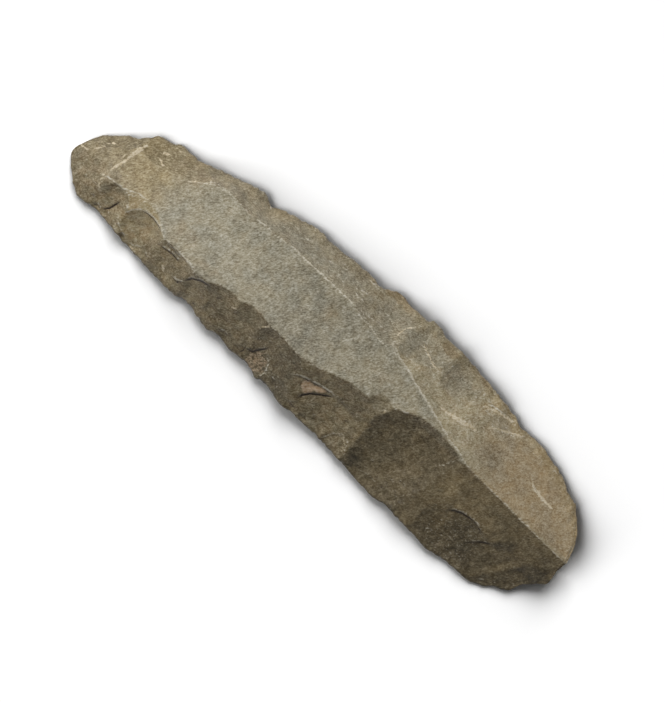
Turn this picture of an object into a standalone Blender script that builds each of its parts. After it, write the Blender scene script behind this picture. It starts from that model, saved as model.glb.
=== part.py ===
"""Flint blade: a long flake of flint lying on its flat underside, struck all over.

+X runs along the blade from the narrow tip to the wide butt, +Y across it, +Z up.
Sizes are in millimetres until the solids are made; the row frame is in metres.
"""
import math

import bmesh
import bpy
import numpy as np

NAME = "flint_blade"
MM = 0.001
BLANK_TOP = 13.0         # height of the block the blade is knapped from
LIFT = 26.0              # how far a cutter reaches past the surface it leaves
FLAKE_CELLS = 4.0        # cells across half of a flake's width
FLAKE_BACK = 8.0         # how far a flake's cutter starts outside the edge
FLAKE_AHEAD = 4.0        # how far it runs on past the flake's head
FLAKE_SIDES = 2.2        # how far it reaches to each side, in half widths
WELD = 0.001
EDGE_STEPS = 3           # straight runs between two stations of the outline
REST_REACH = 62.0        # the blade rests on its underside this far each way
ARCH = 0.55              # lift of the underside at the middle of the blade
BOW = 1.15               # fall of the underside from the middle to the rests
CUPPING = 0.0048         # rise of the underside towards both long edges, per mm
FLINT = (0.262, 0.216, 0.144, 1.0)

# stations of the two long edges, from the tip to the butt
UPPER_EDGE = [
    (-74.6, -7.0), (-74.2, -5.0), (-72.3, -0.6), (-70.0, 1.7), (-67.5, 4.0), (-65.0, 5.3), (-63.3, 7.1),
    (-61.8, 8.9), (-58.3, 9.9), (-56.5, 11.0), (-53.0, 10.8), (-50.0, 11.2), (-46.5, 12.5), (-42.0, 13.8),
    (-38.0, 14.9), (-35.0, 15.7), (-31.8, 14.5), (-29.5, 15.3), (-26.0, 16.4), (-19.0, 17.8), (-15.0, 17.5),
    (-7.5, 18.1), (-3.5, 18.3), (-0.2, 17.7), (2.0, 18.9), (5.0, 19.5), (12.3, 19.1), (14.2, 20.3),
    (16.5, 20.2), (19.0, 19.3), (26.0, 19.2), (33.0, 18.2), (42.0, 16.9), (45.5, 15.8), (50.0, 15.8),
    (54.5, 15.3), (60.0, 13.9), (64.0, 12.0), (67.0, 11.1), (70.0, 8.4), (72.1, 5.9), (73.5, 3.2),
    (74.4, -0.6)]
LOWER_EDGE = [
    (-74.6, -7.0), (-74.3, -8.4), (-71.8, -11.2), (-68.0, -14.0), (-65.8, -14.8), (-61.0, -14.1),
    (-54.0, -15.1), (-46.0, -15.8), (-38.5, -16.5), (-35.3, -16.5), (-32.5, -15.8), (-29.5, -15.9),
    (-24.0, -17.1), (-20.0, -16.4), (-16.5, -17.0), (-14.0, -16.7), (-10.5, -17.0), (-7.4, -18.0),
    (-5.5, -17.4), (1.0, -18.5), (4.0, -18.1), (14.0, -18.3), (24.0, -19.2), (31.5, -19.9), (34.5, -19.4),
    (45.0, -20.0), (48.0, -20.4), (51.0, -20.0), (55.0, -19.3), (61.0, -19.1), (64.2, -18.0), (66.0, -16.4),
    (69.0, -15.0), (70.1, -12.6), (71.4, -10.7), (74.6, -7.4), (74.0, -5.4), (74.4, -0.6)]


def edge_y(side, x):
    """Height of the long edge across the blade at x."""
    stations = UPPER_EDGE if side > 0 else LOWER_EDGE
    xs, ys = zip(*stations)
    return float(np.interp(x, xs, ys))


def midline(x):
    """The blade's middle swings towards the lower edge at both ends."""
    return -0.2 - 2.3 * (x / 60.0) ** 2


def underside(x, y):
    """The flat face the blade was split off on: arched along, cupped across."""
    along = ARCH - BOW * (x / REST_REACH) ** 2
    return along + CUPPING * (y - midline(x)) ** 2


def platform(x, y):
    """The struck butt, cut back from below at the wide end."""
    return 5.0 - 0.95 * (74.6 - x) - 0.045 * (y - 0.5) ** 2


def edge_height(x):
    """Height of the thin edge where flakes were struck off."""
    return 3.1 - 1.1 * (x / REST_REACH) ** 2


def crown(x, y):
    """The long middle facet, a shallow trough that falls towards the tip."""
    return 11.3 + 0.04 * x - 0.0006 * x ** 2 + 0.0075 * (y - 2.2) ** 2


def keel(x, y):
    """The lower facet of the butt, which meets the upper one on a straight ridge."""
    return 12.02 - 0.08 * (x - 41.0) + 0.55 * (y - 0.4) + 0.006 * (y - 0.4) ** 2


def scar(x, y, foot, head, half, dish, foot_z, head_z, hollow=0.0, curl=2):
    """Trough left by one flake: it climbs from its foot to its head and curls up at its sides."""
    run = math.dist(foot, head)
    along = ((x - foot[0]) * (head[0] - foot[0]) + (y - foot[1]) * (head[1] - foot[1])) / run ** 2
    across = ((y - foot[1]) * (head[0] - foot[0]) - (x - foot[0]) * (head[1] - foot[1])) / run
    sag = 4.0 * hollow * along * (1.0 - along)
    return foot_z + (head_z - foot_z) * along - sag + dish * abs(across / half) ** curl


def shoulder(x, y):
    """The broad upper facet of the butt half."""
    return scar(x, y, (30.0, 18.4), (26.0, 5.0), 50.0, 1.5, 4.1, 11.95)


def nose(x, y):
    """The upper facet of the tip."""
    return scar(x, y, (-73.3, -1.2), (-63.6, 0.8), 9.0, 0.5, 3.1, 6.45, 0.1)


def corner(x, y):
    """The facet that cuts the lower corner of the butt."""
    return scar(x, y, (66.2, -16.3), (64.8, -12.0), 9.0, 0.3, 2.2, 4.35)


def bench(x, y):
    """A gentle facet below the middle one, near the tip."""
    return scar(x, y, (-54.6, -15.0), (-53.4, -4.3), 5.5, 0.9, 4.3, 7.9)


# side of the edge it was struck from, foot x, head (x, y), half width, dish, hollow, facet its head is on,
# and the power its sides curl up with, where it isn't 2
FLAKES = {
    "tip_upper":     (+1, -68.5, (-65.6, 0.8), 4.5, 0.4, 0.1, nose),
    "tip_shoulder":  (+1, -61.5, (-58.8, 5.4), 4.6, 0.4, 0.1, crown),
    "upper_a":       (+1, -53.8, (-50.4, 5.4), 6.0, 0.7, 0.2, crown),
    "upper_b":       (+1, -43.5, (-42.5, 9.3), 5.5, 0.9, 0.2, crown),
    "upper_c":       (+1, -35.3, (-35.0, 9.5), 4.0, 0.9, 0.3, crown),
    "upper_notch":   (+1, -31.3, (-30.9, 9.9), 2.8, 0.9, 0.9, crown),
    "upper_d":       (+1, -24.6, (-23.6, 10.1), 6.4, 0.5, 0.3, crown),
    "upper_e":       (+1, -13.5, (-12.8, 10.3), 7.0, 0.5, 0.3, crown),
    "upper_f":       (+1, -4.6, (-3.5, 10.3), 4.2, 0.5, 0.3, crown),
    "upper_g":       (+1, 6.0, (10.0, 8.7), 4.7, 0.9, 0.4, crown),
    "upper_h":       (+1, 17.2, (15.8, 9.6), 6.8, 1.0, 0.4, shoulder),
    "upper_i":       (+1, 29.2, (27.6, 9.4), 4.4, 0.7, 0.3, shoulder),
    "upper_k":       (+1, 44.0, (42.4, 12.0), 6.0, 0.4, 0.2, shoulder),
    "upper_l":       (+1, 60.2, (58.6, 6.8), 6.0, 0.5, 0.2, shoulder),
    "tip_lower":     (-1, -73.5, (-68.5, -5.2), 8.0, 0.5, 0.1, nose),
    "lower_a":       (-1, -67.2, (-67.1, -9.2), 3.2, 0.7, 0.3, nose),
    "lower_b":       (-1, -61.2, (-61.4, -6.0), 4.0, 0.8, 0.4, crown),
    "lower_d":       (-1, -50.0, (-54.3, -7.8), 4.1, 1.4, 0.6, bench),
    "lower_e":       (-1, -41.5, (-40.6, -8.0), 6.2, 1.0, 0.4, crown),
    "lower_f":       (-1, -31.8, (-32.4, -8.9), 4.4, 0.9, 0.3, crown),
    "lower_g":       (-1, -24.8, (-24.2, -6.7), 4.6, 1.0, 0.4, crown),
    "lower_h":       (-1, -18.2, (-17.6, -5.6), 4.2, 1.1, 0.4, crown),
    "lower_i":       (-1, -8.5, (-6.5, -6.6), 8.0, 0.7, 0.4, crown),
    "lower_j":       (-1, 11.1, (7.3, -4.3), 10.7, 1.7, 1.1, crown),
    "lower_bowl":    (-1, 30.3, (42.0, -1.0), 12.1, 2.3, 1.0, crown, 2.4),
    "lower_k":       (-1, 52.6, (51.4, -7.9), 8.0, 1.0, 1.1, keel),
    "lower_l":       (-1, 63.5, (60.4, -8.0), 7.0, 0.5, 0.7, keel),
}
SPUR = ((21.8, -10.5), (16.5, -0.8), 2.2, 0.4, 9.3)


def flake_terms(flake):
    """Foot, head and heights of a flake struck from one of the edges."""
    side, foot_x, head, half, dish, hollow, facet, *curl = flake
    foot = (foot_x, edge_y(side, foot_x))
    return foot, head, half, dish, edge_height(foot_x), float(facet(*head)), hollow, *curl


# ---- solids


def clear_file():
    """Start from nothing."""
    for item in list(bpy.data.objects):
        bpy.data.objects.remove(item, do_unlink=True)


def new_collection(name):
    """A collection in the scene."""
    made = bpy.data.collections.new(name)
    bpy.context.scene.collection.children.link(made)
    return made


def flint_material():
    """Matt brown-grey flint."""
    flint = bpy.data.materials.new("flint")
    flint.use_nodes = True
    shader = flint.node_tree.nodes["Principled BSDF"]
    shader.inputs["Base Color"].default_value = FLINT
    shader.inputs["Roughness"].default_value = 0.62
    shader.inputs["Metallic"].default_value = 0.0
    flint.diffuse_color = FLINT
    return flint


def blank():
    """Upright block with the blade's outline, from the bench to above its ridges."""
    curve = bpy.data.curves.new(NAME, "CURVE")
    curve.dimensions = "2D"
    curve.fill_mode = "BOTH"
    curve.extrude = BLANK_TOP / 2.0 * MM
    curve.resolution_u = EDGE_STEPS
    ring = UPPER_EDGE + LOWER_EDGE[-2:0:-1]
    spline = curve.splines.new("BEZIER")
    spline.bezier_points.add(len(ring) - 1)
    spline.use_cyclic_u = True
    for point, (x, y) in zip(spline.bezier_points, ring):
        point.co = (x * MM, y * MM, 0.0)
        point.handle_left_type = "AUTO"
        point.handle_right_type = "AUTO"
    drawn = bpy.data.objects.new("outline", curve)
    drawn.location.z = BLANK_TOP / 2.0 * MM
    work.objects.link(drawn)
    bpy.context.view_layer.update()
    mesh = bpy.data.meshes.new_from_object(drawn.evaluated_get(bpy.context.evaluated_depsgraph_get()))
    mesh.transform(drawn.matrix_world)
    bpy.data.objects.remove(drawn, do_unlink=True)
    shape = bmesh.new()
    shape.from_mesh(mesh)
    bmesh.ops.remove_doubles(shape, verts=shape.verts, dist=WELD * MM)
    bmesh.ops.recalc_face_normals(shape, faces=shape.faces)
    shape.to_mesh(mesh)
    shape.free()
    mesh.name = NAME
    block = bpy.data.objects.new(NAME, mesh)
    mesh.materials.clear()
    mesh.materials.append(flint_material())
    blade_parts.objects.link(block)
    return block


def drawn_surface(name, surface, centre, heading, reach, lift, cell):
    """Closed cutter: a surface over a turned rectangle, drawn out along Z by lift."""
    back, front, side = reach
    cells_along = max(2, math.ceil((front + back) / cell))
    cells_across = max(2, math.ceil(2.0 * side / cell))
    ahead = np.array((math.cos(heading), math.sin(heading)))
    left = np.array((-ahead[1], ahead[0]))
    shape = bmesh.new()
    bmesh.ops.create_grid(shape, x_segments=cells_along, y_segments=cells_across, size=1.0)
    for vert in shape.verts:
        along = -back + (vert.co.x + 1.0) / 2.0 * (front + back)
        spot = np.array(centre) + ahead * along + left * vert.co.y * side
        vert.co = (spot[0] * MM, spot[1] * MM, float(surface(*spot)) * MM)
    grown = bmesh.ops.extrude_face_region(shape, geom=shape.faces[:])["geom"]
    raised = [item for item in grown if isinstance(item, bmesh.types.BMVert)]
    bmesh.ops.translate(shape, verts=raised, vec=(0.0, 0.0, lift * MM))
    bmesh.ops.recalc_face_normals(shape, faces=shape.faces)
    mesh = bpy.data.meshes.new(name)
    shape.to_mesh(mesh)
    shape.free()
    cutter = bpy.data.objects.new(name, mesh)
    cutter.hide_render = True
    cutter.display_type = "WIRE"
    cutters.objects.link(cutter)
    return cutter


def strike_off(block, cutter):
    """Take a cutter's volume off the block."""
    cut = block.modifiers.new(cutter.name, "BOOLEAN")
    cut.operation = "DIFFERENCE"
    cut.solver = "EXACT"
    cut.object = cutter


def flake_cutter(name, foot, head, half, dish, foot_z, head_z, hollow, curl=2):
    """Cutter for one flake, wide and long enough to clear the facets round it."""
    heading = math.atan2(head[1] - foot[1], head[0] - foot[0])
    run = math.dist(foot, head)

    def surface(x, y):
        return scar(x, y, foot, head, half, dish, foot_z, head_z, hollow, curl)

    reach = (FLAKE_BACK, run + FLAKE_AHEAD, FLAKE_SIDES * half)
    return drawn_surface(name, surface, foot, heading, reach, LIFT, half / FLAKE_CELLS)


clear_file()
blade_parts = new_collection(NAME)
cutters = new_collection("cutters")
work = new_collection("work")
blade = blank()

strike_off(blade, drawn_surface("crown_cut", crown, (0.0, 0.0), 0.0, (80.0, 80.0, 24.0), LIFT, 8.0))
strike_off(blade, drawn_surface("shoulder_cut", shoulder, (30.0, 10.0), -0.28, (60.0, 60.0, 30.0), LIFT, 9.0))
strike_off(blade, drawn_surface("keel_cut", keel, (57.0, 0.0), 0.0, (30.0, 24.0, 26.0), LIFT, 12.0))
strike_off(blade, drawn_surface("nose_cut", nose, (-66.0, 0.0), 0.0, (12.0, 12.0, 24.0), LIFT, 4.0))
strike_off(blade, drawn_surface("corner_cut", corner, (68.0, -11.0), 0.0, (14.0, 10.0, 14.0), LIFT, 3.0))
strike_off(blade, drawn_surface("bench_cut", bench, (-54.0, -9.0), 0.0, (12.0, 12.0, 12.0), LIFT, 3.0))
for flake_name, flake in FLAKES.items():
    strike_off(blade, flake_cutter(flake_name, *flake_terms(flake)))
strike_off(blade, flake_cutter("spur", *SPUR, float(crown(*SPUR[1])), 0.5))
strike_off(blade, drawn_surface("underside_cut", underside, (0.0, 0.0), 0.0, (80.0, 80.0, 24.0), -LIFT, 8.0))
strike_off(blade, drawn_surface("platform_cut", platform, (72.0, 0.0), 0.0, (8.0, 6.0, 22.0), -LIFT, 3.0))
bpy.data.collections.remove(work)
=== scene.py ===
# %% [markdown]
# # A knapped flint blade
# A long flake of flint was struck from a core, then trimmed along both edges with many
# small blows. Each blow took off a flake and left a shallow trough, a scar, and every
# ridge on the stone is a line where two scars meet. The lesson builds the stone the same
# way: one formula for a scar, a list of blows, and the lowest scar wins at every point.
# Then come the small things: chips, steps and cracks, and last the weathered skin.

# %% Load the solid blade
import math

import bpy
import numpy as np
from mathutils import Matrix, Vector


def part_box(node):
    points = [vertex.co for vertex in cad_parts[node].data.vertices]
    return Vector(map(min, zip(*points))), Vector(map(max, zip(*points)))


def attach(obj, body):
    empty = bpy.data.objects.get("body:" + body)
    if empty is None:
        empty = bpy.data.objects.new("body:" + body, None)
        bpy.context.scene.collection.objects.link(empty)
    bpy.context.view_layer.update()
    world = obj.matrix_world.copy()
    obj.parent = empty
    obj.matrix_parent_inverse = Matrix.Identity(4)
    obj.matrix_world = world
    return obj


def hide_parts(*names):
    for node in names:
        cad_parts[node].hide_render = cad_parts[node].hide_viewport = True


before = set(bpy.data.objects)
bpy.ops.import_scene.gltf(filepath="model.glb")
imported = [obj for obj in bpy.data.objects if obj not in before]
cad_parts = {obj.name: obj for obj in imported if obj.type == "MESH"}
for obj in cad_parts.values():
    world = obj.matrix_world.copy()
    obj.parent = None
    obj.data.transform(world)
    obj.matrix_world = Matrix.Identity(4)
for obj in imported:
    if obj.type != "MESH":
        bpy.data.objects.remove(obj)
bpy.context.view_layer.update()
low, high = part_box("flint_blade")
DESIGN_LENGTH = 149.2    # length of the blade in the millimetres used below
MM = (high.x - low.x) / DESIGN_LENGTH
print("blade box in mm:", [round(side / MM, 1) for side in (high - low)])

# %% [markdown]
# ## The outline
# Seen from above, the blade is bounded by two long edges that run from the tip to the
# butt. A few stations on each, joined by a smooth spline, give the outline. The stations
# are the solid's own, so the fine mesh lies where the solid does.

# %% The two edges
UPPER_EDGE = [
    (-74.6, -7.0), (-74.2, -5.0), (-72.3, -0.6), (-70.0, 1.7), (-67.5, 4.0), (-65.0, 5.3), (-63.3, 7.1),
    (-61.8, 8.9), (-58.3, 9.9), (-56.5, 11.0), (-53.0, 10.8), (-50.0, 11.2), (-46.5, 12.5), (-42.0, 13.8),
    (-38.0, 14.9), (-35.0, 15.7), (-31.8, 14.5), (-29.5, 15.3), (-26.0, 16.4), (-19.0, 17.8), (-15.0, 17.5),
    (-7.5, 18.1), (-3.5, 18.3), (-0.2, 17.7), (2.0, 18.9), (5.0, 19.5), (12.3, 19.1), (14.2, 20.3),
    (16.5, 20.2), (19.0, 19.3), (26.0, 19.2), (33.0, 18.2), (42.0, 16.9), (45.5, 15.8), (50.0, 15.8),
    (54.5, 15.3), (60.0, 13.9), (64.0, 12.0), (67.0, 11.1), (70.0, 8.4), (72.1, 5.9), (73.5, 3.2),
    (74.4, -0.6)]
LOWER_EDGE = [
    (-74.6, -7.0), (-74.3, -8.4), (-71.8, -11.2), (-68.0, -14.0), (-65.8, -14.8), (-61.0, -14.1),
    (-54.0, -15.1), (-46.0, -15.8), (-38.5, -16.5), (-35.3, -16.5), (-32.5, -15.8), (-29.5, -15.9),
    (-24.0, -17.1), (-20.0, -16.4), (-16.5, -17.0), (-14.0, -16.7), (-10.5, -17.0), (-7.4, -18.0),
    (-5.5, -17.4), (1.0, -18.5), (4.0, -18.1), (14.0, -18.3), (24.0, -19.2), (31.5, -19.9), (34.5, -19.4),
    (45.0, -20.0), (48.0, -20.4), (51.0, -20.0), (55.0, -19.3), (61.0, -19.1), (64.2, -18.0), (66.0, -16.4),
    (69.0, -15.0), (70.1, -12.6), (71.4, -10.7), (74.6, -7.4), (74.0, -5.4), (74.4, -0.6)]
SPLINE_STEPS = 12


def spline(stations):
    """Smooth line through the stations (Catmull-Rom)."""
    points = np.array([stations[0], *stations, stations[-1]], float)
    before, start, end, after = points[:-3], points[1:-2], points[2:-1], points[3:]
    t = np.linspace(0.0, 1.0, SPLINE_STEPS, endpoint=False)[:, None, None]
    line = 2.0 * start + (end - before) * t
    line = line + (2.0 * before - 5.0 * start + 4.0 * end - after) * t ** 2
    line = 0.5 * (line + (3.0 * start - before - 3.0 * end + after) * t ** 3)
    return np.vstack([line.transpose(1, 0, 2).reshape(-1, 2), points[-1]])


def distance_along(line):
    """How far each point of a line is from its start."""
    return np.concatenate([[0.0], np.cumsum(np.hypot(*np.diff(line, axis=0).T))])


def walk(line, count):
    """Points at equal steps along a line."""
    reached = distance_along(line)
    stops = np.linspace(0.0, reached[-1], count)
    return np.stack([np.interp(stops, reached, line[:, axis]) for axis in (0, 1)], axis=1)


RIBS = 560               # about one every 0.3 mm along the edges
upper_line = walk(spline(UPPER_EDGE), RIBS)
lower_line = walk(spline(LOWER_EDGE), RIBS)
upper_s, lower_s = distance_along(upper_line), distance_along(lower_line)
print("edge lengths in mm:", round(upper_s[-1], 1), round(lower_s[-1], 1))

# %% [markdown]
# ## Nicked edges
# The edge of a real blade isn't a clean line: every small blow bit a shallow scallop out
# of it. The scallops only take stone away, so the outline stays inside the solid's.

# %% Nicks
def scallops(count, length, widths, depths, seed):
    """Centres, half widths and depths of small bites spread along an edge, in mm."""
    dice = np.random.default_rng(seed)
    return dice.uniform(0.0, length, count), dice.uniform(*widths, count), dice.uniform(*depths, count)


def bitten(s, bites):
    """Depth of the deepest bite at each place along an edge."""
    centres, halves, depths = bites
    return (depths * np.maximum(0.0, 1.0 - ((s[:, None] - centres) / halves) ** 2)).max(axis=1)


def nicked(line, s, partner, seed):
    """Edge line with its bites, each cut towards the edge across from it."""
    across = partner - line
    width = np.hypot(*across.T)
    bite = bitten(s, scallops(170, s[-1], (0.4, 1.7), (0.05, 0.38), seed))
    bite = np.minimum(bite, 0.04 * width)
    return line + across * (bite / np.maximum(width, 0.01))[:, None]


upper_nicked = nicked(upper_line, upper_s, lower_line, 11)
lower_nicked = nicked(lower_line, lower_s, upper_line, 12)
half_length = DESIGN_LENGTH / 2.0
for line in (upper_nicked, lower_nicked):
    np.clip(line[:, 0], -half_length, half_length, out=line[:, 0])
print("deepest nick in mm:", round(float(np.hypot(*(upper_nicked - upper_line).T).max()), 2))

# %% [markdown]
# ## The blows
# A scar is a trough. It climbs from its foot on the edge to its head on a ridge, sags a
# little on the way and curls up at its sides. The long middle facet and the facets of
# the butt are older, broader scars, and the flat underside is the face the whole blade
# was split off on.

# %% Scars as formulas
REST_REACH = 62.0        # the blade rests on its underside this far each way, in mm
ARCH = 0.55              # height of the underside at the middle
BOW = 1.15               # fall of the underside from the middle to the rests


def midline(x):
    """Line along the underside where it is lowest, from edge to edge."""
    return -0.2 - 2.3 * (x / 60.0) ** 2


def underside(x, y):
    """The face the blade was split off on: arched along, cupped across."""
    return ARCH - BOW * (x / REST_REACH) ** 2 + 0.0048 * (y - midline(x)) ** 2


def platform(x, y):
    """The struck end of the underside, at the butt."""
    return 5.0 - 0.95 * (74.6 - x) - 0.045 * (y - 0.5) ** 2


def edge_height(x):
    """Height at which the scars start on the edge."""
    return 3.1 - 1.1 * (x / REST_REACH) ** 2


def crown(x, y):
    """The long pale facet along the middle."""
    return 11.3 + 0.04 * x - 0.0006 * x ** 2 + 0.0075 * (y - 2.2) ** 2


def keel(x, y):
    """The facet below the straight ridge of the butt."""
    return 12.02 - 0.08 * (x - 41.0) + 0.55 * (y - 0.4) + 0.006 * (y - 0.4) ** 2


def scar(x, y, foot, head, half, dish, foot_z, head_z, hollow=0.0, curl=2):
    """Height of a trough that climbs from foot to head and is higher by dish at its sides."""
    run = math.dist(foot, head)
    along = ((x - foot[0]) * (head[0] - foot[0]) + (y - foot[1]) * (head[1] - foot[1])) / run ** 2
    across = ((y - foot[1]) * (head[0] - foot[0]) - (x - foot[0]) * (head[1] - foot[1])) / run
    sag = 4.0 * hollow * along * (1.0 - along)
    return foot_z + (head_z - foot_z) * along - sag + dish * abs(across / half) ** curl


def shoulder(x, y):
    """The broad slope above the ridge of the butt."""
    return scar(x, y, (30.0, 18.4), (26.0, 5.0), 50.0, 1.5, 4.1, 11.95)


def nose(x, y):
    """The facet that falls away at the tip."""
    return scar(x, y, (-73.3, -1.2), (-63.6, 0.8), 9.0, 0.5, 3.1, 6.45, 0.1)


def corner(x, y):
    """The cut-off corner of the butt."""
    beyond = np.maximum(0.0, y + 6.0)        # this scar reaches no further than its own corner
    return scar(x, y, (66.2, -16.3), (64.8, -12.0), 9.0, 0.3, 2.2, 4.35) + 2.0 * beyond


def bench(x, y):
    """A ledge on the lower side, near the tip."""
    return scar(x, y, (-54.6, -15.0), (-53.4, -4.3), 5.5, 0.9, 4.3, 7.9)


print("crown at the middle of the blade, in mm:", round(crown(0.0, 0.0), 1))

# %% [markdown]
# ## The list of blows
# The broad facets come first, then one line for every flake, from tip to butt. Besides
# its shape each has three numbers for its skin: how pale its ridge is worn, how much
# grey bloom lies on it and how light its stone is. The lightness wasn't chosen by eye: a
# helper script compared the tone of each scar in a render with the tone it should have and
# corrected the number, again and again, which is why it has three decimals. The shapes of
# upper_f, upper_g, lower_d, lower_j, lower_bowl and the spur were found by a program too,
# which searched for the numbers that bring their ridges to the right places.

# %% The blows
# wear of its ridges, bloom, lightness
BROAD = {
    crown:    (1.0, 1.0, 0.868),
    keel:     (0.5, 0.0, 0.467),
    shoulder: (1.0, 0.5, 0.960),
    nose:     (0.0, 0.0, 0.671),
    corner:   (0.0, 0.0, 0.198),
    bench:    (1.0, 0.2, 1.116),
}
# edge, foot x, head, half width, dish, hollow, facet the head is on, curl, then wear, bloom, lightness
FLAKES = {
    "tip_upper":    (+1, -68.5, (-65.6, 0.8), 4.5, 0.4, 0.1, nose, 2, 0.1, 0.0, 0.487),
    "tip_shoulder": (+1, -61.5, (-58.8, 5.4), 4.6, 0.4, 0.1, crown, 2, 0.0, 0.0, 0.433),
    "upper_a":      (+1, -53.8, (-50.4, 5.4), 6.0, 0.7, 0.2, crown, 2, 0.5, 0.1, 0.612),
    "upper_b":      (+1, -43.5, (-42.5, 9.3), 5.5, 0.9, 0.2, crown, 2, 0.6, 0.5, 0.616),
    "upper_c":      (+1, -35.3, (-35.0, 9.5), 4.0, 0.9, 0.3, crown, 2, 0.5, 0.4, 0.607),
    "upper_notch":  (+1, -31.3, (-30.9, 9.9), 2.8, 0.9, 0.9, crown, 2, 0.5, 0.5, 0.651),
    "upper_d":      (+1, -24.6, (-23.6, 10.1), 6.4, 0.5, 0.3, crown, 2, 0.8, 0.7, 0.658),
    "upper_e":      (+1, -13.5, (-12.8, 10.3), 7.0, 0.5, 0.3, crown, 2, 1.0, 0.8, 0.695),
    "upper_f":      (+1, -4.6, (-3.5, 10.3), 4.2, 0.5, 0.3, crown, 2, 1.0, 0.7, 0.677),
    "upper_g":      (+1, 6.0, (10.0, 8.7), 4.7, 0.9, 0.4, crown, 2, 0.6, 0.7, 0.684),
    "upper_h":      (+1, 17.2, (15.8, 9.6), 6.8, 1.0, 0.4, shoulder, 2, 0.15, 0.8, 0.790),
    "upper_i":      (+1, 29.2, (27.6, 9.4), 4.4, 0.7, 0.3, shoulder, 2, 0.1, 0.6, 0.725),
    "upper_k":      (+1, 44.0, (42.4, 12.0), 6.0, 0.4, 0.2, shoulder, 2, 0.2, 0.5, 0.871),
    "upper_l":      (+1, 60.2, (58.6, 6.8), 6.0, 0.5, 0.2, shoulder, 2, 0.1, 0.4, 0.925),
    "tip_lower":    (-1, -73.5, (-68.5, -5.2), 8.0, 0.5, 0.1, nose, 2, 0.2, 0.0, 0.619),
    "lower_a":      (-1, -67.2, (-67.1, -9.2), 3.2, 0.7, 0.3, nose, 2, 0.1, 0.0, 0.651),
    "lower_b":      (-1, -61.2, (-61.4, -6.0), 4.0, 0.8, 0.4, crown, 2, 0.8, 0.0, 0.705),
    "lower_d":      (-1, -50.0, (-54.3, -7.8), 4.1, 1.4, 0.6, bench, 2, 1.0, 0.0, 0.796),
    "lower_e":      (-1, -41.5, (-40.6, -8.0), 6.2, 1.0, 0.4, crown, 2, 0.9, 0.0, 0.610),
    "lower_f":      (-1, -31.8, (-32.4, -8.9), 4.4, 0.9, 0.3, crown, 2, 0.4, 0.0, 0.606),
    "lower_g":      (-1, -24.8, (-24.2, -6.7), 4.6, 1.0, 0.4, crown, 2, 0.15, 0.0, 0.533),
    "lower_h":      (-1, -18.2, (-17.6, -5.6), 4.2, 1.1, 0.4, crown, 2, 0.1, 0.0, 0.519),
    "lower_i":      (-1, -8.5, (-6.5, -6.6), 8.0, 0.7, 0.4, crown, 2, 0.5, 0.0, 0.377),
    "lower_j":      (-1, 11.1, (7.3, -4.3), 10.7, 1.7, 1.1, crown, 2, 0.15, 0.0, 0.534),
    "lower_bowl":   (-1, 30.3, (42.0, -1.0), 12.1, 2.3, 1.0, crown, 2.4, 0.35, 0.0, 0.364),
    "lower_k":      (-1, 52.6, (51.4, -7.9), 8.0, 1.0, 1.1, keel, 2, 0.2, 0.0, 0.239),
    "lower_l":      (-1, 63.5, (60.4, -8.0), 7.0, 0.5, 0.7, keel, 2, 0.1, 0.0, 0.307),
}
# foot, head, half width, dish, height of the foot: the small spur beside the bowl
SPUR = ((21.8, -10.5), (16.5, -0.8), 2.2, 0.4, 9.3)
SPUR_SKIN = (0.1, 0.3, 0.625)


def edge_y(side, x):
    stations = UPPER_EDGE if side > 0 else LOWER_EDGE
    xs, ys = zip(*stations)
    return float(np.interp(x, xs, ys))


RIPPLE = 0.016           # height of the ripples that spread from each blow
RIPPLE_STEP = 1.9        # from one ripple to the next


def rippled(height, x, y, foot, half):
    """Scar height with rings round the struck point, as a pond has round a stone."""
    distance = np.hypot(x - foot[0], y - foot[1])
    ring = np.sin(2.0 * math.pi * (distance + 0.02 * distance ** 2) / RIPPLE_STEP + foot[0])
    return height + RIPPLE * ring * np.minimum(1.0, half / 5.0)


def facet_heights(x, y):
    """Height of every scar at the points, one row for each scar."""
    rows = [facet(x, y) for facet in BROAD]
    for side, foot_x, head, half, dish, hollow, facet, curl, *skin in FLAKES.values():
        foot = (foot_x, edge_y(side, foot_x))
        height = scar(x, y, foot, head, half, dish, edge_height(foot_x), float(facet(*head)), hollow, curl)
        rows.append(rippled(height, x, y, foot, half))
    foot, head, half, dish, foot_z = SPUR
    rows.append(scar(x, y, foot, head, half, dish, foot_z, float(crown(*head)), 0.5))
    return np.array(rows)


names = [*(facet.__name__ for facet in BROAD), *FLAKES, "spur"]
skins = np.array([*BROAD.values(), *(flake[-3:] for flake in FLAKES.values()), SPUR_SKIN])
print("scars:", len(skins))

# %% [markdown]
# ## Ribs
# The stone is skinned with ribs that run across it, from the lower edge over the ridged
# face to the upper edge and back along the underside. Each rib is one closed loop, so
# the skin has no seam, and it narrows to almost nothing at the tip and the butt.

# %% Places of the points
TOP_POINTS = 128         # along each rib, on the face
BASE_POINTS = 40         # and along the plainer underside
BLUNT = 0.2              # how far the thin edge is rounded back
across = upper_nicked - lower_nicked
width = np.maximum(np.hypot(*across.T), 0.1)
inset = np.minimum(BLUNT / width, 0.3)[:, None]


def spread(count):
    """Points along each rib between its two rounded edges."""
    t = inset + np.linspace(0.0, 1.0, count) * (1.0 - 2.0 * inset)
    return lower_nicked[:, None, :] + across[:, None, :] * t[..., None]


top_x, top_y = np.moveaxis(spread(TOP_POINTS), -1, 0)
base_x, base_y = np.moveaxis(spread(BASE_POINTS)[:, ::-1], -1, 0)
print("spacing in mm along and across:", round(upper_s[1], 2), round(float(width.max()) / TOP_POINTS, 2))

# %% [markdown]
# ## Ridges with a natural wander
# No ridge on a knapped stone is a drawn curve. Before the scars are worked out, the
# points are shifted a little by smooth random noise, so that every ridge wanders by a few
# tenths of a millimetre. Where two scars meet, a smooth minimum rounds the ridge as long
# wear does, and the gap between the two lowest scars says how near the ridge is.

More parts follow.
